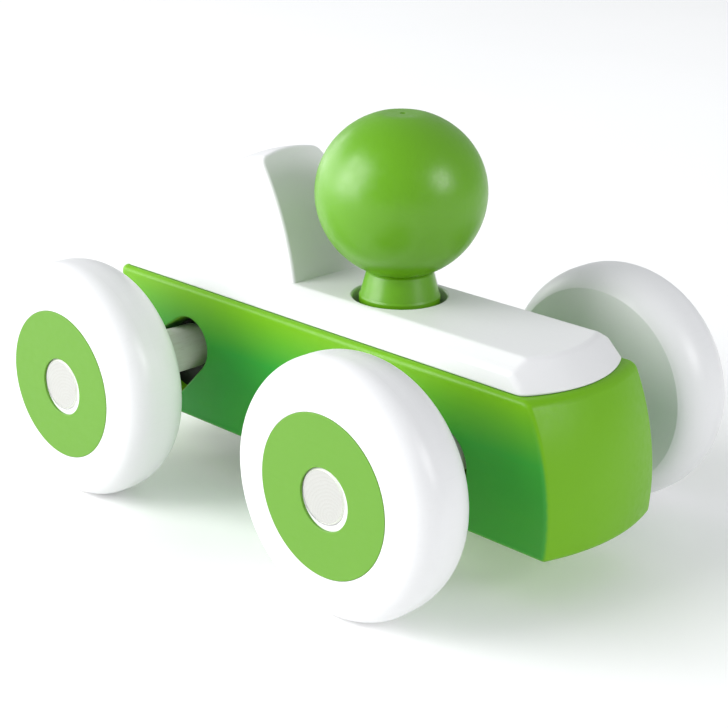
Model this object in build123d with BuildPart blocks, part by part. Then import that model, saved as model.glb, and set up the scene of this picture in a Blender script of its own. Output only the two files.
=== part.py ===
from build123d import *

import os
from math import acos, cos, pi, radians, sin, tan

# Pull-back racing car: a painted wooden toy with a spring motor on its rear axle.
# Millimetres. +X points to the nose, +Y to the car's left and +Z up. The origin is on the
# floor, under the middle of the car's length and width.

os.makedirs("parts", exist_ok=True)

# Running gear
wheel_radius = 25.0
wheel_inner_y = 31.65
wheel_outer_y = 46.4
wheel_face_radius = 20.1
outer_shoulder = 5.5
wheel_back_radius = 19.9
back_cut = 0.3
inner_shoulder = 7.2
wheelbase = 78.1
rear_axle_x = -41.6
front_axle_x = rear_axle_x + wheelbase
axle_z = wheel_radius
dowel_radius = 5.3
dowel_end_y = wheel_outer_y - 0.25
sleeve_radius = 4.9
disc_radius = 15.7
disc_depth = 0.4
disc_proud = 0.1
disc_hole_radius = 6.0
disc_hole_shift = (0.6, -0.35)

# Body block
body_half_width = 16.2
body_bottom = 10.7
body_top = 40.8
body_rear_x = -59.6
nose_centre_x = 21.2
nose_radius = 45.4
nose_bulge_z = 17.5
nose_bulge_radius = 52.5
nose_brow_radius = 2.4
slot_upper_end = (5.1, 2.7)
slot_upper_radius = 6.1
slot_lower_end = (-2.2, -3.3)
slot_lower_radius = 7.1
front_slot_half = 7.4
front_slot_length = 1.8

# Deck and tail cowl
deck_top = 46.6
deck_ridge = 44.45
deck_bottom_half = 15.0
deck_ridge_half = 14.5
deck_top_half = 10.6
deck_rear_x = -59.0
deck_nose_centre_x = 33.95
deck_nose_bottom_radius = 26.5
deck_nose_top_radius = 21.7
cowl_front_x = -8.75
cowl_lean = 11.85
cowl_side_slope = 0.088
cowl_crown = 1.3

# Driver
driver_x = 10.95
ball_radius = 17.1
ball_z = 67.8
ball_crown_radius = 16.2
ball_flat_radius = 4.5
neck_top_radius = 6.75
neck_radius = 8.2
neck_cone_z = 47.1
deck_hole_radius = 9.55
spigot_radius = 5.5
spigot_bottom = 26.0
socket_bottom = 25.6
tenon_radius = 4.0
tenon_top = 63.0

# Fits
running = 0.06
free_gap = 0.3

# Spring motor: involute gears of one module, all turning about axes along Y
module = 0.6
pressure_angle = radians(25)
addendum = 0.8 * module
dedendum = 1.05 * module
backlash = 0.1
axle_teeth = 12
idler_teeth = 24
pinion_teeth = 10
barrel_teeth = 28
idler_x = rear_axle_x + module * (axle_teeth + idler_teeth) / 2
barrel_x = idler_x + module * (pinion_teeth + barrel_teeth) / 2
shaft_radius = 1.5
idler_arbor_radius = 1.0
spring_arbor_radius = 1.5
case_wall = 1.5
case_half_width = 9.4
case_half_height = 11.2
case_rear_x = rear_axle_x - 7.6
case_front_x = barrel_x + 11.3
case_mid_x = (case_rear_x + case_front_x) / 2
case_length = case_front_x - case_rear_x
ear_length = 6.0
ear_half_width = 4.5
ear_thickness = 2.2
ear_root = 2.2
ear_top = 16.3
pocket_half_width = 10.2
pocket_top = axle_z + case_half_height + 0.5

y_axis = (0, 1, 0)
wheel_places = {
    "front_left": (front_axle_x, 1),
    "front_right": (front_axle_x, -1),
    "rear_left": (rear_axle_x, 1),
    "rear_right": (rear_axle_x, -1),
}


def side_plane(x, y, z):
    """A plane facing -Y whose local axes are the car's X and Z."""
    return Plane(origin=(x, y, z), x_dir=(1, 0, 0), z_dir=(0, -1, 0))


def axle_plane(x):
    """A plane through an axle whose local axes are the radius and the car's Y."""
    return Plane(origin=(x, 0, axle_z), x_dir=(1, 0, 0), z_dir=(0, 0, 1))


def axle_axis(x):
    return Axis((x, 0, axle_z), y_axis)


def gear_outline(teeth, phase):
    """Draws a closed involute gear outline about the local origin; phase turns it, in degrees."""
    pitch_radius = module * teeth / 2
    base_radius = pitch_radius * cos(pressure_angle)
    tip_radius = pitch_radius + addendum
    root_radius = pitch_radius - dedendum
    pitch_half_angle = pi / (2 * teeth) - backlash / (2 * pitch_radius)
    involute_at_pitch = tan(pressure_angle) - pressure_angle

    def point(radius, angle):
        return (radius * cos(angle), radius * sin(angle))

    def half_angle(radius):
        roll = acos(min(1.0, base_radius / radius))
        return pitch_half_angle + involute_at_pitch - (tan(roll) - roll)

    flank_start = max(base_radius, root_radius)
    flank_steps = 4
    flank = [flank_start + (tip_radius - flank_start) * i / flank_steps for i in range(flank_steps + 1)]
    tooth_pitch = 2 * pi / teeth
    for tooth in range(teeth):
        middle = radians(phase) + tooth * tooth_pitch
        rising = [point(r, middle - half_angle(r)) for r in flank]
        falling = [point(r, middle + half_angle(r)) for r in reversed(flank)]
        root_half = half_angle(flank_start)
        next_root = middle + tooth_pitch - root_half
        if root_radius < flank_start:
            Line(point(root_radius, middle - root_half), rising[0])
            Line(falling[-1], point(root_radius, middle + root_half))
        Spline(*rising)
        ThreePointArc(rising[-1], point(tip_radius, middle), falling[0])
        Spline(*falling)
        gap_middle = middle + tooth_pitch / 2
        ThreePointArc(
            point(root_radius, middle + root_half),
            point(root_radius, gap_middle),
            point(root_radius, next_root),
        )


# The green block: slab sides, a flat top and bottom, and a nose that is round in plan and bulges
# forward below its middle.
with BuildPart() as body_block:
    with BuildSketch(side_plane(nose_centre_x, 0, 0)) as nose_profile:
        with BuildLine():
            bulge_centre = nose_radius - nose_bulge_radius
            top_reach = bulge_centre + (nose_bulge_radius**2 - (body_top - nose_bulge_z) ** 2) ** 0.5
            low_reach = bulge_centre + (nose_bulge_radius**2 - (nose_bulge_z - body_bottom) ** 2) ** 0.5
            ThreePointArc((top_reach, body_top), (nose_radius, nose_bulge_z), (low_reach, body_bottom))
            Polyline((low_reach, body_bottom), (0, body_bottom), (0, body_top), (top_reach, body_top))
        make_face()
        brow = nose_profile.vertices().group_by(Axis.Y)[-1].sort_by(Axis.X)[-1]
        fillet(brow, radius=nose_brow_radius)
    revolve(axis=Axis((nose_centre_x, 0, 0), (0, 0, 1)))
    with BuildSketch(Plane.XY.offset(body_bottom)):
        with Locations(((body_rear_x + nose_centre_x) / 2, 0)):
            Rectangle(nose_centre_x - body_rear_x, 2 * body_half_width)
    extrude(amount=body_top - body_bottom)
    with BuildSketch(Plane.XY.offset(body_bottom)):
        with Locations((body_rear_x + 100, 0)):
            Rectangle(200, 2 * body_half_width)
    extrude(amount=body_top - body_bottom, mode=Mode.INTERSECT)
    rear_corners = body_block.edges().filter_by(Axis.Z).group_by(Axis.X)[0]
    fillet(rear_corners, radius=1.6)
    nose_corners = (
        body_block.edges()
        .filter_by(lambda e: e.center().X > nose_centre_x + 30)
        .filter_by(lambda e: e.bounding_box().size.Y < 1 and e.bounding_box().size.Z > 1)
    )
    top_outline = body_block.faces().sort_by(Axis.Z)[-1].edges()
    side_tops = top_outline.filter_by(lambda e: e.center().X < nose_centre_x + 20)
    fillet(nose_corners + side_tops, radius=1.2)
    fillet(body_block.faces().sort_by(Axis.Z)[0].edges(), radius=1.2)
    # Pocket for the motor, routed from below, with a shallow step that its ears bear on
    with BuildSketch(Plane.XY.offset(body_bottom)):
        with Locations((case_mid_x, 0)):
            RectangleRounded(case_length + 1.2, 2 * pocket_half_width, 2.5)
    extrude(amount=pocket_top - body_bottom, mode=Mode.SUBTRACT)
    with BuildSketch(Plane.XY.offset(body_bottom)):
        with Locations((case_mid_x, 0)):
            RectangleRounded(case_length + 2 * ear_length + 1.2, 2 * ear_half_width + 1.2, 4.0)
    extrude(amount=ear_top - body_bottom, mode=Mode.SUBTRACT)
    # Slanted, widening slots in both side walls, which the turning rear sleeves pass through
    for wall_y in (-pocket_half_width, body_half_width):
        with BuildSketch(side_plane(rear_axle_x, wall_y, axle_z)):
            with Locations(slot_upper_end):
                Circle(slot_upper_radius)
            with Locations(slot_lower_end):
                Circle(slot_lower_radius)
            make_hull()
        extrude(amount=body_half_width - pocket_half_width, mode=Mode.SUBTRACT)
    # Upright slot for the front axle, which bears against its top
    front_slot_top = axle_z + dowel_radius + 0.1 - front_slot_half
    with BuildSketch(side_plane(front_axle_x, 0, front_slot_top - front_slot_length / 2)):
        SlotCenterToCenter(front_slot_length, 2 * front_slot_half, rotation=90)
    extrude(amount=body_half_width, both=True, mode=Mode.SUBTRACT)
    sides = body_block.faces().filter_by(Axis.Y).sort_by(Axis.Y)
    slot_rims = [edge for side in (sides[0], sides[-1]) for wire in side.inner_wires() for edge in wire.edges()]
    fillet(slot_rims, radius=0.5)
    # Driver's socket, with its screw hole and counterbore from below
    screw_ceiling = 18.5
    with Locations((driver_x, 0, body_top)):
        Hole(spigot_radius + running, depth=body_top - socket_bottom)
        Hole(1.85, depth=body_top - body_bottom)
    with BuildSketch(Plane.XY.offset(body_bottom)):
        with Locations((driver_x, 0)):
            Circle(4.5)
    extrude(amount=screw_ceiling - body_bottom, mode=Mode.SUBTRACT)
    # Pilot holes for the motor screws and blind holes for the deck dowels
    motor_screw_xs = (case_rear_x - 3.3, case_front_x + 3.3)
    motor_screw_radius = 1.2
    motor_screw_top = 24.0
    with BuildSketch(Plane.XY.offset(ear_top)):
        with Locations(*[(x, 0) for x in motor_screw_xs]):
            Circle(motor_screw_radius)
    extrude(amount=motor_screw_top - ear_top, mode=Mode.SUBTRACT)
    deck_dowel_xs = (-54.6, 24.0)
    deck_dowel_radius = 2.5
    deck_dowel_bottom = 30.5
    deck_dowel_top = 44.0
    with Locations(*[(x, 0, body_top) for x in deck_dowel_xs]):
        Hole(deck_dowel_radius, depth=body_top - deck_dowel_bottom)
body_block.part.label = "body_block"
export_step(body_block.part, "parts/body_block.step")

# The white deck: near-upright edges, a wide chamfer along each side and a sloping round front
with BuildPart() as deck:
    with BuildSketch(side_plane(deck_nose_centre_x, 0, 0)):
        Polygon(
            (0, body_top),
            (deck_nose_bottom_radius, body_top),
            (deck_nose_top_radius, deck_top),
            (0, deck_top),
            align=None,
        )
    revolve(axis=Axis((deck_nose_centre_x, 0, 0), (0, 0, 1)))
    with BuildSketch(Plane.XY.offset(body_top)):
        with Locations(((deck_rear_x + deck_nose_centre_x) / 2, 0)):
            Rectangle(deck_nose_centre_x - deck_rear_x, 2 * deck_nose_bottom_radius)
    extrude(amount=deck_top - body_top)
    with BuildSketch(Plane.YZ.offset(deck_rear_x)):
        Polygon(
            (-deck_bottom_half, body_top),
            (deck_bottom_half, body_top),
            (deck_ridge_half, deck_ridge),
            (deck_top_half, deck_top),
            (-deck_top_half, deck_top),
            (-deck_ridge_half, deck_ridge),
            align=None,
        )
    extrude(amount=200, mode=Mode.INTERSECT)
    upper_edges = deck.edges().filter_by(lambda e: e.center().Z > body_top + 1)
    fillet(upper_edges, radius=1.8)
    fillet(deck.faces().sort_by(Axis.Z)[0].edges(), radius=0.35)
    with Locations((driver_x, 0, deck_top)):
        Hole(deck_hole_radius, depth=deck_top - body_top)
    hole_rim = deck.edges().filter_by(GeomType.CIRCLE).filter_by(
        lambda e: abs(e.radius - deck_hole_radius) < 0.01 and e.center().Z > deck_ridge
    )
    fillet(hole_rim, radius=0.5)
    cowl_dowel_xs = (-24.0, -43.0)
    cowl_dowel_radius = 2.0
    cowl_dowel_bottom = 42.4
    cowl_dowel_top = 52.0
    with BuildSketch(Plane.XY.offset(body_top)):
        with Locations(*[(x, 0) for x in deck_dowel_xs]):
            Circle(deck_dowel_radius)
    extrude(amount=deck_dowel_top - body_top, mode=Mode.SUBTRACT)
    with Locations(*[(x, 0, deck_top) for x in cowl_dowel_xs]):
        Hole(cowl_dowel_radius, depth=deck_top - cowl_dowel_bottom)
deck.part.label = "deck"
export_step(deck.part, "parts/deck.step")

# The white tail cowl: a crowned fairing that falls to the rear, with a leaning seat back
cowl_stations = ((-4.0, 73.6), (-20.8, 71.5), (-32.3, 67.8), (-45.1, 59.4), (-52.8, 53.2), (-58.8, 47.9))
with BuildPart() as tail_cowl:
    for station_x, station_top in cowl_stations:
        station_height = station_top - deck_top
        shoulder_z = station_top - min(cowl_crown, 0.3 * station_height)
        shoulder_half = deck_top_half - cowl_side_slope * (shoulder_z - deck_top)
        with BuildSketch(Plane.YZ.offset(station_x)) as station:
            with BuildLine():
                ThreePointArc((-shoulder_half, shoulder_z), (0, station_top), (shoulder_half, shoulder_z))
                Polyline(
                    (shoulder_half, shoulder_z),
                    (deck_top_half, deck_top),
                    (-deck_top_half, deck_top),
                    (-shoulder_half, shoulder_z),
                )
            make_face()
            top_corners = station.vertices().group_by(Axis.Y)[-1]
            fillet(top_corners, radius=min(2.6, 0.5 * (shoulder_z - deck_top)))
    loft()
    with BuildSketch(side_plane(0, 0, 0)):
        with BuildLine():
            seat_foot = (cowl_front_x, deck_top)
            seat_middle = (cowl_front_x - 0.37 * cowl_lean, (deck_top + 70) / 2)
            seat_head = (cowl_front_x - cowl_lean, 70)
            seat_back = ThreePointArc(seat_foot, seat_middle, seat_head)
            above_head = (cowl_front_x - cowl_lean - 3.0, 75)
            Polyline(seat_head, above_head, (0, 75), (0, deck_top - 1), (cowl_front_x, deck_top - 1), seat_foot)
        make_face()
    extrude(amount=20, both=True, mode=Mode.SUBTRACT)
    seat_outline = (
        tail_cowl.edges()
        .filter_by(lambda e: e.center().X > cowl_front_x - cowl_lean - 2 and e.center().Z > deck_top + 1)
        .filter_by(lambda e: e.bounding_box().size.X < cowl_lean + 1)
    )
    fillet(seat_outline, radius=0.8)
    with BuildSketch(Plane.XY.offset(deck_top)):
        with Locations(*[(x, 0) for x in cowl_dowel_xs]):
            Circle(cowl_dowel_radius)
    extrude(amount=cowl_dowel_top - deck_top, mode=Mode.SUBTRACT)
tail_cowl.part.label = "tail_cowl"
export_step(tail_cowl.part, "parts/tail_cowl.step")

# Wooden pins that locate the deck on the block and the cowl on the deck
with BuildPart() as deck_dowels:
    with BuildSketch(Plane.XY.offset(deck_dowel_bottom + 0.4)):
        with Locations(*[(x, 0) for x in deck_dowel_xs]):
            Circle(deck_dowel_radius)
    extrude(amount=deck_dowel_top - deck_dowel_bottom - 0.8)
    chamfer(deck_dowels.edges().filter_by(GeomType.CIRCLE), length=0.5)
deck_dowels.part.label = "deck_dowels"
export_step(deck_dowels.part, "parts/deck_dowels.step")

with BuildPart() as cowl_dowels:
    with BuildSketch(Plane.XY.offset(cowl_dowel_bottom + 0.3)):
        with Locations(*[(x, 0) for x in cowl_dowel_xs]):
            Circle(cowl_dowel_radius)
    extrude(amount=cowl_dowel_top - cowl_dowel_bottom - 0.6)
    chamfer(cowl_dowels.edges().filter_by(GeomType.CIRCLE), length=0.4)
cowl_dowels.part.label = "cowl_dowels"
export_step(cowl_dowels.part, "parts/cowl_dowels.step")

# Driver: a turned ball on a flared neck, whose spigot turns in the block's socket
driver_axis = Axis((driver_x, 0, 0), (0, 0, 1))
neck_top = ball_z - (ball_radius**2 - neck_top_radius**2) ** 0.5
ball_top = ball_z + ball_crown_radius * (1 - (ball_flat_radius / ball_radius) ** 2) ** 0.5
with BuildPart() as driver_head:
    with BuildSketch(side_plane(driver_x, 0, 0)):
        with BuildLine():
            lower_turn = radians(-20)
            lower_middle = (ball_radius * cos(lower_turn), ball_z + ball_radius * sin(lower_turn))
            ThreePointArc((neck_top_radius, neck_top), lower_middle, (ball_radius, ball_z))
            EllipticalCenterArc((0, ball_z), ball_radius, ball_crown_radius, arc_size=90)
            Polyline(
                (0, ball_z + ball_crown_radius),
                (0, tenon_top + 0.5),
                (tenon_radius, tenon_top + 0.5),
                (tenon_radius, neck_top),
                (neck_top_radius, neck_top),
            )
        make_face()
    revolve(axis=driver_axis)
    # The ball's crown is turned a little flat, with a soft edge
    with Locations((driver_x, 0, ball_top + 1)):
        Cylinder(ball_radius, 2, mode=Mode.SUBTRACT)
    fillet(driver_head.faces().sort_by(Axis.Z)[-1].edges(), radius=6.0)
    dimple_radius = 0.6
    with Locations((driver_x, 0, ball_top)):
        Hole(dimple_radius, depth=0.5)
driver_head.part.label = "driver_head"
export_step(driver_head.part, "parts/driver_head.step")

driver_screw_radius = 1.5
driver_screw_tip = 36.0
with BuildPart() as driver_neck:
    with BuildSketch(side_plane(driver_x, 0, 0)):
        with BuildLine():
            Polyline(
                (0, spigot_bottom),
                (spigot_radius - 0.5, spigot_bottom),
                (spigot_radius, spigot_bottom + 0.5),
                (spigot_radius, body_top + 0.2),
                (neck_radius - 0.4, body_top + 0.2),
                (neck_radius, body_top + 0.6),
                (neck_radius, neck_cone_z - 0.4),
                (neck_radius - 0.25, neck_cone_z),
                (neck_top_radius, neck_top - 0.5),
                (neck_top_radius - 0.4, neck_top),
                (tenon_radius, neck_top),
                (tenon_radius, tenon_top - 0.5),
                (tenon_radius - 0.5, tenon_top),
                (0, tenon_top),
                (0, spigot_bottom),
            )
        make_face()
    revolve(axis=driver_axis)
    with BuildSketch(Plane.XY.offset(spigot_bottom)):
        with Locations((driver_x, 0)):
            Circle(driver_screw_radius)
    extrude(amount=driver_screw_tip - spigot_bottom + 0.5, mode=Mode.SUBTRACT)
driver_neck.part.label = "driver_neck"
export_step(driver_neck.part, "parts/driver_neck.step")

washer_thickness = 0.8
with BuildPart() as driver_washer:
    with BuildSketch(Plane.XY.offset(screw_ceiling - washer_thickness)):
        with Locations((driver_x, 0)):
            Circle(4.2)
            Circle(1.85, mode=Mode.SUBTRACT)
    extrude(amount=washer_thickness)
driver_washer.part.label = "driver_washer"
export_step(driver_washer.part, "parts/driver_washer.step")


def screw_profile(shank_radius, head_radius, head_bottom, head_top, tip_z):
    """Half outline of a pan-headed screw that points up, drawn in a side plane."""
    Polyline(
        (0.7 * head_radius, head_bottom),
        (0, head_bottom),
        (0, tip_z),
        (0.3 * shank_radius, tip_z),
        (shank_radius, tip_z - 1.5 * shank_radius),
        (shank_radius, head_top),
        (head_radius, head_top),
    )
    TangentArc((head_radius, head_top), (0.7 * head_radius, head_bottom), tangent=(0, -1))


def cross_recess(x, head_bottom, size):
    """Two crossed driver slots in a screw head, cut from below."""
    recess_depth = 0.9
    with Locations((x, 0, head_bottom + recess_depth / 2)):
        Box(size, size / 4, recess_depth, mode=Mode.SUBTRACT)
        Box(size / 4, size, recess_depth, mode=Mode.SUBTRACT)


driver_screw_head = screw_ceiling - washer_thickness - free_gap
with BuildPart() as driver_screw:
    with BuildSketch(side_plane(driver_x, 0, 0)):
        with BuildLine():
            screw_profile(driver_screw_radius, 3.2, driver_screw_head - 2.2, driver_screw_head, driver_screw_tip)
        make_face()
    revolve(axis=driver_axis)
    cross_recess(driver_x, driver_screw_head - 2.2, 3.2)
driver_screw.part.label = "driver_screw"
export_step(driver_screw.part, "parts/driver_screw.step")

# Four wheels, each with a thin painted disc let into its outer face. The disc's hole is a little
# off centre, so the wheel shows as a crescent beside the dowel.
groove_width = 0.25
groove_depth = 0.6
for place, (wheel_x, side) in wheel_places.items():
    with BuildPart() as wheel:
        with BuildSketch(axle_plane(wheel_x)):
            with BuildLine():
                recess_y = wheel_outer_y - disc_depth
                outer_tread_y = side * (wheel_outer_y - outer_shoulder)
                inner_tread_y = side * (wheel_inner_y + inner_shoulder)
                EllipticalCenterArc(
                    (wheel_face_radius, outer_tread_y),
                    wheel_radius - wheel_face_radius,
                    outer_shoulder,
                    arc_size=90 * side,
                )
                Line((wheel_radius, outer_tread_y), (wheel_radius, inner_tread_y))
                EllipticalCenterArc(
                    (wheel_back_radius, inner_tread_y),
                    wheel_radius - wheel_back_radius,
                    inner_shoulder + back_cut,
                    arc_size=-90 * side,
                )
                Polyline(
                    (wheel_face_radius, side * wheel_outer_y),
                    (disc_radius + 0.05, side * wheel_outer_y),
                    (disc_radius + 0.05, side * recess_y),
                    (dowel_radius + groove_width, side * recess_y),
                    (dowel_radius + groove_width, side * (recess_y - groove_depth)),
                    (dowel_radius, side * (recess_y - groove_depth)),
                    (dowel_radius, side * (wheel_inner_y - back_cut)),
                    (wheel_back_radius, side * (wheel_inner_y - back_cut)),
                )
            make_face()
            # The flat back is faced off, which leaves a crisp arris where the shoulder starts
            with Locations((wheel_radius / 2, side * (wheel_inner_y - back_cut / 2))):
                Rectangle(wheel_radius, back_cut, mode=Mode.SUBTRACT)
        revolve(axis=axle_axis(wheel_x))
    wheel.part.label = f"wheel_{place}"
    export_step(wheel.part, f"parts/wheel_{place}.step")

    with BuildPart() as hub_disc:
        with BuildSketch(side_plane(wheel_x, side * recess_y, axle_z)):
            Circle(disc_radius)
            with Locations(disc_hole_shift):
                Circle(disc_hole_radius, mode=Mode.SUBTRACT)
        extrude(amount=-side * (disc_depth + disc_proud))
        disc_face = hub_disc.faces().sort_by(Axis.Y)[-1 if side > 0 else 0]
        fillet(disc_face.edges(), radius=0.15)
    hub_disc.part.label = f"hub_disc_{place}"
    export_step(hub_disc.part, f"parts/hub_disc_{place}.step")

# Front axle: one dowel through both wheels and the upright slot
with BuildPart() as front_axle:
    with BuildSketch(side_plane(front_axle_x, 0, axle_z)):
        Circle(dowel_radius)
    extrude(amount=dowel_end_y, both=True)
    chamfer(front_axle.edges().filter_by(GeomType.CIRCLE), length=0.3)
front_axle.part.label = "front_axle"
export_step(front_axle.part, "parts/front_axle.step")

# Rear axle: a steel shaft through the motor and a dowel sleeve pressed on each end
sleeve_start_y = case_half_width + 0.5
shaft_end_y = 22.0
for side_name, side in (("left", 1), ("right", -1)):
    with BuildPart() as rear_sleeve:
        with BuildSketch(axle_plane(rear_axle_x)):
            with BuildLine():
                Polyline(
                    (shaft_radius, side * sleeve_start_y),
                    (sleeve_radius - 0.3, side * sleeve_start_y),
                    (sleeve_radius, side * (sleeve_start_y + 0.3)),
                    (sleeve_radius, side * (wheel_inner_y - 0.4)),
                    (dowel_radius, side * wheel_inner_y),
                    (dowel_radius, side * (dowel_end_y - 0.3)),
                    (dowel_radius - 0.3, side * dowel_end_y),
                    (0, side * dowel_end_y),
                    (0, side * (shaft_end_y + 0.5)),
                    (shaft_radius, side * (shaft_end_y + 0.5)),
                    (shaft_radius, side * sleeve_start_y),
                )
            make_face()
        revolve(axis=axle_axis(rear_axle_x))
    rear_sleeve.part.label = f"rear_sleeve_{side_name}"
    export_step(rear_sleeve.part, f"parts/rear_sleeve_{side_name}.step")

with BuildPart() as drive_shaft:
    with BuildSketch(side_plane(rear_axle_x, 0, axle_z)):
        Circle(shaft_radius)
    extrude(amount=shaft_end_y, both=True)
    chamfer(drive_shaft.edges().filter_by(GeomType.CIRCLE), length=0.3)
drive_shaft.part.label = "drive_shaft"
export_step(drive_shaft.part, "parts/drive_shaft.step")

# Motor gears. A tooth of each driving gear points forward, into a gap of the next gear.
axle_gear_y = (2.2, 6.2)
idler_gear_y = (2.5, 6.0)
pinion_y = (-1.2, 2.5)
barrel_gear_y = (-1.4, 1.8)
drum_y = (-7.2, -1.4)
with BuildPart() as axle_gear:
    with BuildSketch(side_plane(rear_axle_x, axle_gear_y[1], axle_z)):
        with BuildLine():
            gear_outline(axle_teeth, 0)
        make_face()
        Circle(shaft_radius, mode=Mode.SUBTRACT)
    extrude(amount=axle_gear_y[1] - axle_gear_y[0])
    with BuildSketch(side_plane(rear_axle_x, axle_gear_y[0], axle_z)):
        Circle(2.7)
        Circle(shaft_radius, mode=Mode.SUBTRACT)
    extrude(amount=9.0)
axle_gear.part.label = "axle_gear"
export_step(axle_gear.part, "parts/axle_gear.step")

with BuildPart() as idler_gear:
    with BuildSketch(side_plane(idler_x, idler_gear_y[1], axle_z)):
        with BuildLine():
            gear_outline(idler_teeth, 180 / idler_teeth)
        make_face()
        Circle(idler_arbor_radius + running, mode=Mode.SUBTRACT)
    extrude(amount=idler_gear_y[1] - idler_gear_y[0])
    with BuildSketch(side_plane(idler_x, pinion_y[1], axle_z)):
        with BuildLine():
            gear_outline(pinion_teeth, 0)
        make_face()
        Circle(idler_arbor_radius + running, mode=Mode.SUBTRACT)
    extrude(amount=pinion_y[1] - pinion_y[0])
idler_gear.part.label = "idler_gear"
export_step(idler_gear.part, "parts/idler_gear.step")

drum_radius = 7.5
drum_bore = 6.6
with BuildPart() as spring_barrel:
    with BuildSketch(side_plane(barrel_x, barrel_gear_y[1], axle_z)):
        with BuildLine():
            gear_outline(barrel_teeth, 180 / barrel_teeth)
        make_face()
        Circle(spring_arbor_radius + running, mode=Mode.SUBTRACT)
    extrude(amount=barrel_gear_y[1] - barrel_gear_y[0])
    with BuildSketch(side_plane(barrel_x, drum_y[1], axle_z)):
        Circle(drum_radius)
        Circle(drum_bore, mode=Mode.SUBTRACT)
    extrude(amount=drum_y[1] - drum_y[0])
spring_barrel.part.label = "spring_barrel"
export_step(spring_barrel.part, "parts/spring_barrel.step")

lid_thickness = 0.8
with BuildPart() as barrel_lid:
    with BuildSketch(side_plane(barrel_x, drum_y[0] + lid_thickness, axle_z)):
        Circle(drum_bore)
        Circle(spring_arbor_radius + running, mode=Mode.SUBTRACT)
    extrude(amount=lid_thickness)
barrel_lid.part.label = "barrel_lid"
export_step(barrel_lid.part, "parts/barrel_lid.step")

# Mainspring: a flat strip coiled from half circles about two centres
strip_thickness = 0.25
spring_y = (-6.1, -1.7)
spring_start_radius = 2.3
half_turns = 11
coil_shift = 0.16
with BuildPart() as mainspring:
    with BuildSketch(side_plane(barrel_x, spring_y[1], axle_z)):
        with BuildLine():
            for turn in range(half_turns):
                centre_x = -coil_shift if turn % 2 == 0 else coil_shift
                coil_radius = spring_start_radius + 2 * coil_shift * turn
                start_angle = 0 if turn % 2 == 0 else 180
                CenterArc((centre_x, 0), coil_radius, start_angle, 180)
                CenterArc((centre_x, 0), coil_radius + strip_thickness, start_angle, 180)
            inner_end = spring_start_radius - coil_shift
            Line((inner_end, 0), (inner_end + strip_thickness, 0))
            outer_end = -coil_shift - spring_start_radius - 2 * coil_shift * (half_turns - 1)
            Line((outer_end, 0), (outer_end - strip_thickness, 0))
        make_face()
    extrude(amount=spring_y[1] - spring_y[0])
mainspring.part.label = "mainspring"
export_step(mainspring.part, "parts/mainspring.step")

# Fixed pins that the idler gear and the spring barrel turn on
arbor_end_y = case_half_width - 0.6
spring_post_radius = 2.1
with BuildPart() as idler_arbor:
    with BuildSketch(side_plane(idler_x, 0, axle_z)):
        Circle(idler_arbor_radius)
    extrude(amount=arbor_end_y, both=True)
idler_arbor.part.label = "idler_arbor"
export_step(idler_arbor.part, "parts/idler_arbor.step")

with BuildPart() as spring_arbor:
    with BuildSketch(side_plane(barrel_x, 0, axle_z)):
        Circle(spring_arbor_radius)
    extrude(amount=arbor_end_y, both=True)
    with BuildSketch(side_plane(barrel_x, spring_y[1], axle_z)):
        Circle(spring_post_radius)
    extrude(amount=spring_y[1] - spring_y[0])
spring_arbor.part.label = "spring_arbor"
export_step(spring_arbor.part, "parts/spring_arbor.step")

# Motor case: two moulded shells that meet on the centre plane, each with one mounting ear
case_ears = {"left": (1, case_rear_x, -1), "right": (-1, case_front_x, 1)}
boss_radius = 1.8
for side_name, (side, ear_x, ear_way) in case_ears.items():
    outer_plane = side_plane(case_mid_x, side * case_half_width, axle_z)
    inside_half_width = case_half_width - case_wall
    with BuildPart() as motor_case:
        with BuildSketch(outer_plane):
            RectangleRounded(case_length, 2 * case_half_height, 3.0)
        extrude(amount=side * case_half_width)
        fillet(motor_case.faces().sort_by(Axis.Y)[-1 if side > 0 else 0].edges(), radius=0.6)
        with BuildSketch(side_plane(case_mid_x, side * inside_half_width, axle_z)):
            RectangleRounded(case_length - 2 * case_wall, 2 * (case_half_height - case_wall), 1.8)
        extrude(amount=side * inside_half_width, mode=Mode.SUBTRACT)
        # Bosses that hold the fixed pins and keep the gears in their planes
        idler_boss_end = idler_gear_y[1] + free_gap if side > 0 else pinion_y[0] - free_gap
        barrel_boss_end = barrel_gear_y[1] + free_gap if side > 0 else drum_y[0] - free_gap
        for boss_x, boss_end in ((idler_x, idler_boss_end), (barrel_x, barrel_boss_end)):
            with BuildSketch(side_plane(boss_x, side * inside_half_width, axle_z)):
                Circle(boss_radius + 0.6 * (boss_x == barrel_x))
            extrude(amount=side * (inside_half_width - abs(boss_end)))
        for pin_x, pin_radius in ((idler_x, idler_arbor_radius), (barrel_x, spring_arbor_radius)):
            with BuildSketch(side_plane(pin_x, side * arbor_end_y, axle_z)):
                Circle(pin_radius)
            extrude(amount=side * arbor_end_y, mode=Mode.SUBTRACT)
        with BuildSketch(side_plane(rear_axle_x, side * case_half_width, axle_z)):
            Circle(shaft_radius + running)
        extrude(amount=side * case_half_width, mode=Mode.SUBTRACT)
        # Ear with its screw hole
        with BuildSketch(Plane.XY.offset(ear_top - ear_thickness)):
            with Locations((ear_x + ear_way * ear_length / 2, 0)):
                Rectangle(ear_length, 2 * ear_half_width)
            with Locations((ear_x - ear_way * ear_root / 2, side * ear_half_width / 2)):
                Rectangle(ear_root, ear_half_width)
            with Locations((ear_x + ear_way * 3.3, 0)):
                Circle(motor_screw_radius + 0.2, mode=Mode.SUBTRACT)
        extrude(amount=ear_thickness)
        ear_tips = motor_case.edges().filter_by(Axis.Z).filter_by(
            lambda e: abs(e.center().X - ear_x - ear_way * ear_length) < 0.01
        )
        fillet(ear_tips, radius=3.0)
    motor_case.part.label = f"motor_case_{side_name}"
    export_step(motor_case.part, f"parts/motor_case_{side_name}.step")

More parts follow.
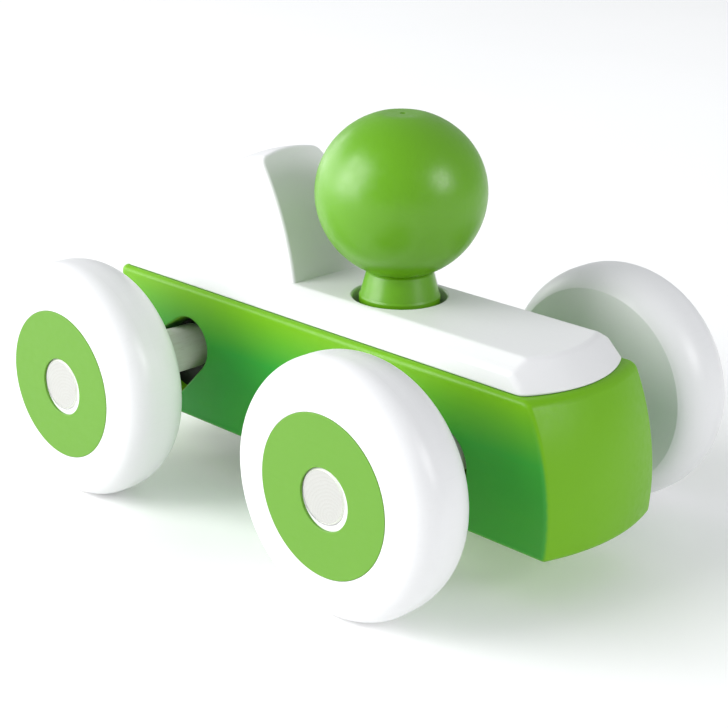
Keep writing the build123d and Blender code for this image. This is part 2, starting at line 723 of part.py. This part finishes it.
# Two wood screws that hold the motor's ears up against the block
motor_screw_head = ear_top - ear_thickness
with BuildPart() as motor_screws:
    for screw_x in motor_screw_xs:
        with BuildSketch(side_plane(screw_x, 0, 0)):
            with BuildLine():
                screw_profile(
                    motor_screw_radius, 2.6, motor_screw_head - 1.8, motor_screw_head, motor_screw_top - 0.5
                )
            make_face()
        revolve(axis=Axis((screw_x, 0, 0), (0, 0, 1)))
        cross_recess(screw_x, motor_screw_head - 1.8, 2.6)
motor_screws.part.label = "motor_screws"
export_step(motor_screws.part, "parts/motor_screws.step")
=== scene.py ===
from math import cos, radians, sin

import bmesh
import bpy
from mathutils import Matrix, Vector


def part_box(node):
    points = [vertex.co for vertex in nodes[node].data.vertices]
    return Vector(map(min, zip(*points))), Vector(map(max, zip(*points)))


# The pull-back car in a plain studio. Metres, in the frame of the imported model: +X points to the
# nose, +Y to the car's left and +Z up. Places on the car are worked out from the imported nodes' boxes.

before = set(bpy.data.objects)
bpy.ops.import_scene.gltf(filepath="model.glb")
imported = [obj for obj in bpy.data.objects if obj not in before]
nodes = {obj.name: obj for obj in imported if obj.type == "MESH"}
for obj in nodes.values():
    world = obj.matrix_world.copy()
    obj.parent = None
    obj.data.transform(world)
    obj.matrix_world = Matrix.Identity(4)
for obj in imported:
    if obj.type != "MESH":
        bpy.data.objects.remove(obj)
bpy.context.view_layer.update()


def middle(node):
    """The centre of a node's box."""
    low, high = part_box(node)
    return (low + high) / 2


front_axle = middle("front_axle")
rear_axle = (middle("wheel_rear_left") + middle("wheel_rear_right")) / 2
car_middle = (front_axle + rear_axle) / 2
block_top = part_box("body_block")[1].z


# ---------------------------------------------------------------- node graphs

class Graph:
    """A material's node tree, built with short calls."""

    def __init__(self, name):
        self.material = bpy.data.materials.new(name)
        self.material.use_nodes = True
        self.tree = self.material.node_tree
        self.tree.nodes.clear()
        self.output = self.tree.nodes.new("ShaderNodeOutputMaterial")
        self.shader = self.add("ShaderNodeBsdfPrincipled")
        self.tree.links.new(self.shader.outputs[0], self.output.inputs["Surface"])
        self.place = self.add("ShaderNodeTexCoord").outputs["Object"]

    def add(self, kind, inputs=None, **settings):
        node = self.tree.nodes.new(kind)
        for key, value in settings.items():
            setattr(node, key, value)
        for key, value in (inputs or {}).items():
            self.set(node, key, value)
        return node

    def set(self, node, key, value):
        """Links a socket where the value is one, and sets a constant otherwise."""
        socket = node.inputs[key]
        if isinstance(value, bpy.types.NodeSocket):
            self.tree.links.new(value, socket)
        else:
            socket.default_value = value

    def math(self, operation, *values):
        node = self.add("ShaderNodeMath", dict(enumerate(values)), operation=operation)
        return node.outputs[0]

    def vector_math(self, operation, *vectors):
        return self.add("ShaderNodeVectorMath", dict(enumerate(vectors)), operation=operation)

    def axis(self, vector, letter):
        """One coordinate of a vector."""
        return self.add("ShaderNodeSeparateXYZ", {0: vector}).outputs[letter]

    def stretched(self, scale, origin=(0, 0, 0)):
        """Object coordinates about an origin, scaled along each axis."""
        shifted = self.vector_math("SUBTRACT", self.place, tuple(origin))
        return self.vector_math("MULTIPLY", shifted.outputs[0], tuple(scale)).outputs[0]

    def noise(self, scale, vector=None, detail=3.0, roughness=0.5, distortion=0.0):
        inputs = {"Vector": vector or self.place, "Scale": scale, "Detail": detail,
                  "Roughness": roughness, "Distortion": distortion}
        return self.add("ShaderNodeTexNoise", inputs).outputs["Fac"]

    def stretched_noise(self, scale, **settings):
        """Noise with its own scale along each axis, such as the grain of wood."""
        return self.noise(1.0, self.stretched(scale), **settings)

    def spread(self, value, low, high, to_low=0.0, to_high=1.0):
        """Maps low..high to to_low..to_high, clamped."""
        inputs = {"Value": value, "From Min": low, "From Max": high,
                  "To Min": to_low, "To Max": to_high}
        return self.add("ShaderNodeMapRange", inputs).outputs["Result"]

    def mix(self, factor, first, second):
        """Blends two colours."""
        inputs = {0: factor, 6: first, 7: second}
        return self.add("ShaderNodeMix", inputs, data_type="RGBA", blend_type="MIX").outputs[2]

    def recess(self, distance, low, high):
        """1 deep in slots, gaps and holes, 0 on open faces."""
        inputs = {"Distance": distance}
        open_sky = self.add("ShaderNodeAmbientOcclusion", inputs, samples=8).outputs["AO"]
        return self.spread(open_sky, high, low)

    def bump(self, height, strength, distance, under=None):
        inputs = {"Height": height, "Strength": strength, "Distance": distance}
        if under is not None:
            inputs["Normal"] = under
        return self.add("ShaderNodeBump", inputs).outputs["Normal"]

    def edge_mask(self, radius, low, high):
        """1 on convex and concave edges narrower than radius, 0 on open faces."""
        rounded = self.add("ShaderNodeBevel", {"Radius": radius}, samples=6).outputs["Normal"]
        flat = self.add("ShaderNodeNewGeometry").outputs["Normal"]
        alike = self.vector_math("DOT_PRODUCT", rounded, flat).outputs["Value"]
        return self.spread(alike, high, low)

    def sideways(self, low, high):
        """1 on faces that look along +Y or -Y in the object's own axes, 0 on the others."""
        normal = self.add("ShaderNodeNewGeometry").outputs["Normal"]
        own = self.add("ShaderNodeVectorTransform", {0: normal}, vector_type="NORMAL",
                       convert_from="WORLD", convert_to="OBJECT").outputs[0]
        return self.spread(self.math("ABSOLUTE", self.axis(own, "Y")), low, high)

    def finish(self, **inputs):
        for key, value in inputs.items():
            self.set(self.shader, key.replace("_", " "), value)
        return self.material


def srgb(red, green, blue):
    """An 8-bit display colour as linear RGBA."""
    def linear(value):
        value /= 255
        return value / 12.92 if value <= 0.04045 else ((value + 0.055) / 1.055) ** 2.4
    return (linear(red), linear(green), linear(blue), 1.0)


# ---------------------------------------------------------------- materials
#
# Noise scales are features per metre, and bump distances and radii are metres.

cloud_scale = 26  # slow drift of a paint's tone
film_scale = 700  # orange peel of a sprayed coat
grit_scale = 3200  # fine dust in a coat
paint_edge_radius = 0.0007
# Painted shade on the block's long sides: where it begins and where it is full, below the top edge
side_shade_starts = 0.0015  # below the block's top edge
side_shade_is_full = 0.0115
slot_reach = 0.006


def paint(name, colours, grain_scale, roughness, gloss=0.42, side=None):
    """Satin paint over fine-grained wood: the grain shows faintly through the film.

    colours are the plain tone, the tone of light patches and of the painted highlight on edges, and the
    tone of the grain.
    side, if given, is the painted shade on the faces that look sideways, and the painted shade inside
    slots.
    """
    g = Graph(name)
    plain, light, deep = colours
    if side:
        # Painted shade: faces that look sideways turn a deeper green below the block's top edge.
        side_painted_shade, slot_shade = side
        height = g.axis(g.place, "Z")
        below_top_shade = g.spread(height, block_top - side_shade_starts, block_top - side_shade_is_full)
        plain = g.mix(g.math("MULTIPLY", g.sideways(0.62, 0.92), below_top_shade), plain, side_painted_shade)
    grain = g.stretched_noise(grain_scale, detail=4, roughness=0.6, distortion=0.3)
    cloud = g.noise(cloud_scale, detail=2)
    film = g.noise(film_scale, detail=2)
    grit = g.noise(grit_scale, detail=1)
    tone = g.mix(g.spread(cloud, 0.35, 0.65, 0.0, 0.10), plain, light)
    tone = g.mix(g.spread(grain, 0.56, 0.74, 0.0, 0.10), tone, deep)
    # Painted highlight: edges move towards the light tone, a bright line along each edge.
    painted_edge_highlight = g.math("MULTIPLY", g.edge_mask(paint_edge_radius, 0.80, 0.99), 0.30)
    tone = g.mix(painted_edge_highlight, tone, light)
    if side:
        # Painted shade: slots and gaps darken towards the slot shade.
        tone = g.mix(g.recess(slot_reach, 0.12, 0.50), tone, slot_shade)
    rough = g.math("ADD", g.spread(film, 0.3, 0.7, roughness - 0.04, roughness + 0.05),
                   g.spread(grain, 0.5, 0.8, 0.0, 0.05))
    normal = g.bump(grain, 0.08, 0.00010)
    normal = g.bump(film, 0.12, 0.00010, normal)
    normal = g.bump(grit, 0.06, 0.00003, normal)
    return g.finish(Base_Color=tone, Roughness=rough, Normal=normal, Specular_IOR_Level=gloss)


def dowel_wood(name, dowel_middle):
    """White-washed turned dowel: streaks along its length and rings at its end."""
    g = Graph(name)
    pith_offset = Vector((0.0021, 0, -0.0034))
    ring_frequency = 9000  # radians per metre, which is a ring every 0.7 mm
    ring_wander = 6
    streak = g.stretched_noise((2200, 90, 2200), detail=4, roughness=0.65)
    pores = g.stretched_noise((5200, 420, 5200), detail=2)
    from_pith = g.vector_math("LENGTH", g.stretched((1, 0, 1), dowel_middle + pith_offset))
    reach = g.math("MULTIPLY", from_pith.outputs["Value"], ring_frequency)
    warp = g.math("MULTIPLY", g.noise(420, detail=2), ring_wander)
    rings = g.math("SINE", g.math("ADD", reach, warp))
    flecks = g.noise(5200, detail=1)
    side_tone = g.mix(g.spread(streak, 0.42, 0.70, 0.0, 0.35), srgb(240, 241, 234), srgb(218, 216, 202))
    side_tone = g.mix(g.spread(pores, 0.60, 0.70, 0.0, 0.25), side_tone, srgb(188, 182, 164))
    end_tone = g.mix(g.spread(rings, -0.2, 1.0, 0.0, 0.30), srgb(188, 188, 184), srgb(175, 173, 167))
    end_tone = g.mix(g.spread(flecks, 0.60, 0.72, 0.0, 0.4), end_tone, srgb(150, 147, 140))
    tone = g.mix(g.sideways(0.85, 0.97), side_tone, end_tone)
    height = g.math("ADD", g.math("MULTIPLY", streak, 0.8), g.math("MULTIPLY", rings, 0.10))
    return g.finish(Base_Color=tone, Roughness=g.spread(streak, 0.3, 0.7, 0.46, 0.62),
                    Normal=g.bump(height, 0.30, 0.00012))


def bare_wood(name):
    """Unfinished beech pin, with its grain upright."""
    g = Graph(name)
    streak = g.stretched_noise((2400, 2400, 160), detail=4, roughness=0.6)
    flecks = g.stretched_noise((5200, 5200, 700), detail=1)
    tone = g.mix(g.spread(streak, 0.35, 0.7), srgb(219, 186, 143), srgb(186, 146, 102))
    tone = g.mix(g.spread(flecks, 0.62, 0.7, 0.0, 0.6), tone, srgb(136, 98, 64))
    return g.finish(Base_Color=tone, Roughness=g.spread(streak, 0.3, 0.7, 0.55, 0.75),
                    Normal=g.bump(streak, 0.4, 0.00015))


def plated_steel(name):
    """Zinc-plated steel with fine turning marks and dull handling spots."""
    g = Graph(name)
    marks = g.stretched_noise((900, 900, 7000), detail=2)
    spots = g.noise(900, detail=3)
    tone = g.mix(g.spread(spots, 0.4, 0.65), srgb(186, 188, 194), srgb(152, 154, 160))
    return g.finish(Base_Color=tone, Metallic=1.0, Roughness=g.spread(spots, 0.3, 0.7, 0.22, 0.42),
                    Normal=g.bump(marks, 0.25, 0.00003))


def blued_spring(name):
    """Spring strip, blued along its length."""
    g = Graph(name)
    along = g.noise(260, detail=2)
    marks = g.stretched_noise((5000, 300, 5000), detail=2)
    tone = g.mix(g.spread(along, 0.4, 0.6), srgb(74, 82, 110), srgb(112, 104, 98))
    return g.finish(Base_Color=tone, Metallic=1.0, Roughness=g.spread(marks, 0.3, 0.7, 0.24, 0.4),
                    Normal=g.bump(marks, 0.3, 0.00002))


def moulded_black(name):
    """Black moulded case with a spark-eroded texture and paler, rubbed edges."""
    g = Graph(name)
    case_edge_radius = 0.0004
    grain = g.noise(2600, detail=3, roughness=0.6)
    flow = g.noise(60, detail=2)
    tone = g.mix(g.spread(flow, 0.35, 0.65), srgb(30, 30, 32), srgb(42, 42, 45))
    rubbed_edge = g.math("MULTIPLY", g.edge_mask(case_edge_radius, 0.85, 0.99), 0.3)
    tone = g.mix(rubbed_edge, tone, srgb(84, 84, 88))
    return g.finish(Base_Color=tone, Roughness=g.spread(grain, 0.3, 0.7, 0.46, 0.62),
                    Normal=g.bump(grain, 0.35, 0.00006))


def natural_acetal(name):
    """Unpigmented gear plastic, slightly waxy."""
    g = Graph(name)
    flow = g.noise(180, detail=2)
    grit = g.noise(2600, detail=2)
    tone = g.mix(g.spread(flow, 0.35, 0.65), srgb(236, 234, 224), srgb(222, 219, 206))
    return g.finish(Base_Color=tone, Roughness=g.spread(grit, 0.3, 0.7, 0.34, 0.46),
                    Normal=g.bump(grit, 0.15, 0.00003), Subsurface_Weight=0.15,
                    Subsurface_Radius=(0.002, 0.002, 0.0018), Subsurface_Scale=1.0)


# A paint's tones: plain, light (light patches and the painted edge highlight), and deep in the grain
ball_greens = (srgb(94, 156, 2), srgb(122, 184, 24), srgb(76, 142, 8))
block_greens = (srgb(108, 172, 6), srgb(142, 198, 40), srgb(86, 152, 10))
disc_greens = (srgb(98, 152, 40), srgb(108, 162, 54), srgb(86, 142, 34))
whites = (srgb(231, 231, 232), srgb(240, 240, 241), srgb(214, 214, 214))
# Painted shade on the block's long sides, and painted shade inside its slots
block_side_shades = (srgb(44, 160, 52), srgb(20, 84, 30))

# Wood grain: long along one axis, fine across it
along_x = (70, 1500, 1500)
along_y = (1500, 70, 1500)
along_z = (1500, 1500, 70)

block_paint = paint("block_green_paint", block_greens, along_x, 0.38, gloss=0.30, side=block_side_shades)
turned_green = paint("turned_green_paint", ball_greens, along_z, 0.33, gloss=0.55)
disc_green = paint("disc_green_paint", disc_greens, along_x, 0.42)
deck_white = paint("deck_white_paint", whites, along_x, 0.34)
wheel_white = paint("wheel_white_paint", whites, along_y, 0.32)
front_dowel = dowel_wood("front_dowel_wood", front_axle)
rear_dowel = dowel_wood("rear_dowel_wood", rear_axle)
pin_wood = bare_wood("bare_beech")
steel = plated_steel("zinc_plated_steel")
spring = blued_spring("blued_spring_strip")
case_black = moulded_black("moulded_black_case")
acetal = natural_acetal("natural_acetal")

# What each node's name starts with, and its finish. The first match counts, so the hidden deck_dowels
# share the deck's paint. The arbors, screws, shaft and washer match nothing and are steel.
finishes = {
    "body_block": block_paint,
    "driver_head": turned_green,
    "driver_neck": turned_green,
    "deck": deck_white,
    "tail_cowl": deck_white,
    "front_axle": front_dowel,
    "rear_sleeve": rear_dowel,
    "hub_disc": disc_green,
    "wheel": wheel_white,
    "cowl_dowels": pin_wood,
    "mainspring": spring,
    "motor_case": case_black,
    "axle_gear": acetal,
    "idler_gear": acetal,
    "spring_barrel": acetal,
    "barrel_lid": acetal,
}
for name, node in nodes.items():
    matches = [finish for start, finish in finishes.items() if name.startswith(start)]
    node.data.materials.clear()
    node.data.materials.append(matches[0] if matches else steel)


# ---------------------------------------------------------------- studio

floor_radius = 6.0
floor_glow = 0.1  # lifts the paper to the white of a lit studio sweep
air_tint = (0.97, 1.0, 1.03, 1)
air_strength = 0.46
light_aim = Vector((car_middle.x, 0, 0.04))
# Each soft box's name, direction from the car, distance, width, height and power in watts
soft_boxes = [
    ("key_box", (-0.47, -0.77, 0.40), 1.6, 1.1, 1.3, 28.5),
    ("nose_box", (0.87, 0.22, 0.43), 2.4, 0.9, 1.0, 19.5),
    ("rim_box", (-0.94, -0.24, 0.20), 1.8, 2.3, 1.0, 18.0),
]
camera_azimuth, camera_elevation, camera_roll = 44.56, 20.135, 0.554
camera_distance = 0.36067
camera_aim = Vector((car_middle.x + 0.00364, 0, 0.02905))
camera_lens = 85.67  # millimetres


def floor():
    """A wide, plain, pale floor."""
    mesh = bpy.data.meshes.new("floor")
    shape = bmesh.new()
    bmesh.ops.create_circle(shape, cap_ends=True, radius=floor_radius, segments=96)
    shape.to_mesh(mesh)
    shape.free()
    piece = bpy.data.objects.new("floor", mesh)
    bpy.context.scene.collection.objects.link(piece)
    g = Graph("floor_paper")
    tone = g.mix(g.spread(g.noise(6, detail=2), 0.3, 0.7), srgb(246, 246, 246), srgb(249, 249, 249))
    mesh.materials.append(g.finish(Base_Color=tone, Roughness=0.9, Emission_Color=(1, 1, 1, 1),
                                   Emission_Strength=floor_glow))


def studio_air():
    """An even, faintly cool light from all round."""
    world = bpy.data.worlds.new("studio")
    world.use_nodes = True
    background = world.node_tree.nodes["Background"]
    background.inputs["Color"].default_value = air_tint
    background.inputs["Strength"].default_value = air_strength
    bpy.context.scene.world = world


def soft_light(name, direction, distance, width, height, power):
    """A rectangular soft box that faces the middle of the car."""
    data = bpy.data.lights.new(name, "AREA")
    data.shape = "RECTANGLE"
    data.size = width
    data.size_y = height
    data.energy = power
    light = bpy.data.objects.new(name, data)
    bpy.context.scene.collection.objects.link(light)
    towards = Vector(direction).normalized()
    light.location = light_aim + towards * distance
    light.rotation_euler = towards.to_track_quat("Z", "Y").to_euler()


def camera(azimuth, elevation, roll, distance, target, lens):
    """A camera that looks at a point from a direction given in degrees."""
    data = bpy.data.cameras.new("camera")
    data.lens = lens
    data.clip_start = 0.01
    data.clip_end = 50
    piece = bpy.data.objects.new("camera", data)
    bpy.context.scene.collection.objects.link(piece)
    turn, rise, tilt = radians(azimuth), radians(elevation), radians(roll)
    back = Vector((sin(turn) * cos(rise), -cos(turn) * cos(rise), sin(rise)))
    level_right = Vector((cos(turn), sin(turn), 0))
    right = level_right * cos(tilt) + back.cross(level_right) * sin(tilt)
    up = back.cross(right)
    rotation = Matrix((right, up, back)).transposed().to_4x4()
    piece.matrix_world = Matrix.Translation(target + back * distance) @ rotation
    bpy.context.scene.camera = piece


floor()
studio_air()
for soft_box in soft_boxes:
    soft_light(*soft_box)
camera(camera_azimuth, camera_elevation, camera_roll, camera_distance, camera_aim, camera_lens)
bpy.context.scene.view_settings.view_transform = "Standard"
